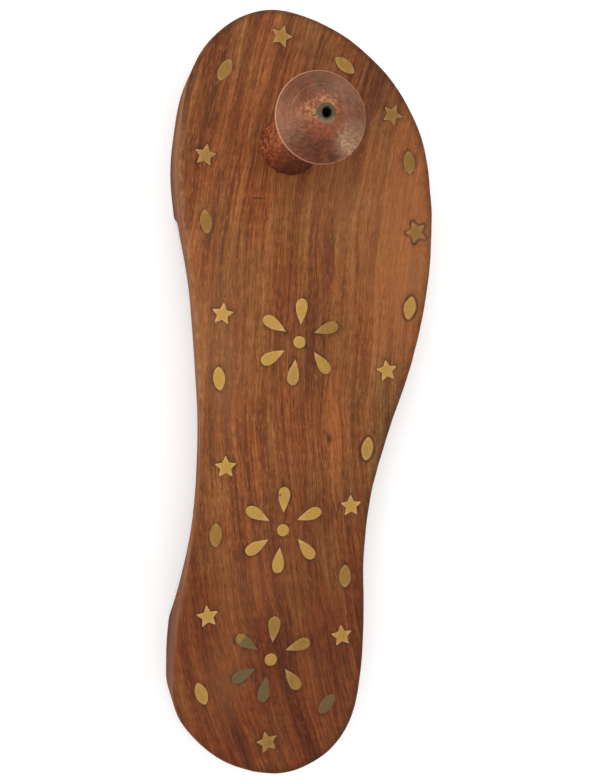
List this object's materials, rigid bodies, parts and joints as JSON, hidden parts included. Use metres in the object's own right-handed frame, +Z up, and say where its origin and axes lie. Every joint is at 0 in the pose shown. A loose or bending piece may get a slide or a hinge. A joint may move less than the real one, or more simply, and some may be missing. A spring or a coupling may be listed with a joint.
{
  "type": "toe knob sandal",
  "caption": "Carved wooden paduka sandal for the right foot, with a turned toe knob, a scooped arch and brass star, leaf and flower inlays flush in its deck.",
  "frame": {"origin": "on the floor under the middle of the sandal's length and width", "axes": "+Y toward the toe, +X toward the outer side of the foot, +Z up"},
  "size_m": [0.0912, 0.2601, 0.0765],
  "materials": {
    "sole_wood": "satin, oiled reddish-brown hardwood with a straight streaked grain",
    "knob_wood": "satin turned hardwood, smooth on the cap and rough on the stem",
    "brass": "dull satin, tarnished in places"
  },
  "bodies": {
    "root": {"sole": "sole_wood", "toe_knob": "knob_wood", "star_inlay_01": "brass", "star_inlay_02": "brass", "star_inlay_03": "brass", "star_inlay_04": "brass", "star_inlay_05": "brass", "star_inlay_06": "brass", "star_inlay_07": "brass", "star_inlay_08": "brass", "star_inlay_09": "brass", "star_inlay_10": "brass", "star_inlay_11": "brass", "leaf_inlay_01": "brass", "leaf_inlay_02": "brass", "leaf_inlay_03": "brass", "leaf_inlay_04": "brass", "leaf_inlay_05": "brass", "leaf_inlay_06": "brass", "leaf_inlay_07": "brass", "leaf_inlay_08": "brass", "leaf_inlay_09": "brass", "leaf_inlay_10": "brass", "leaf_inlay_11": "brass", "flower_1_dot": "brass", "flower_1_petal_1": "brass", "flower_1_petal_2": "brass", "flower_1_petal_3": "brass", "flower_1_petal_4": "brass", "flower_1_petal_5": "brass", "flower_1_petal_6": "brass", "flower_2_dot": "brass", "flower_2_petal_1": "brass", "flower_2_petal_2": "brass", "flower_2_petal_3": "brass", "flower_2_petal_4": "brass", "flower_2_petal_5": "brass", "flower_2_petal_6": "brass", "flower_3_dot": "brass", "flower_3_petal_1": "brass", "flower_3_petal_2": "brass", "flower_3_petal_3": "brass", "flower_3_petal_4": "brass", "flower_3_petal_5": "brass", "flower_3_petal_6": "brass"}
  },
  "joints": []
}
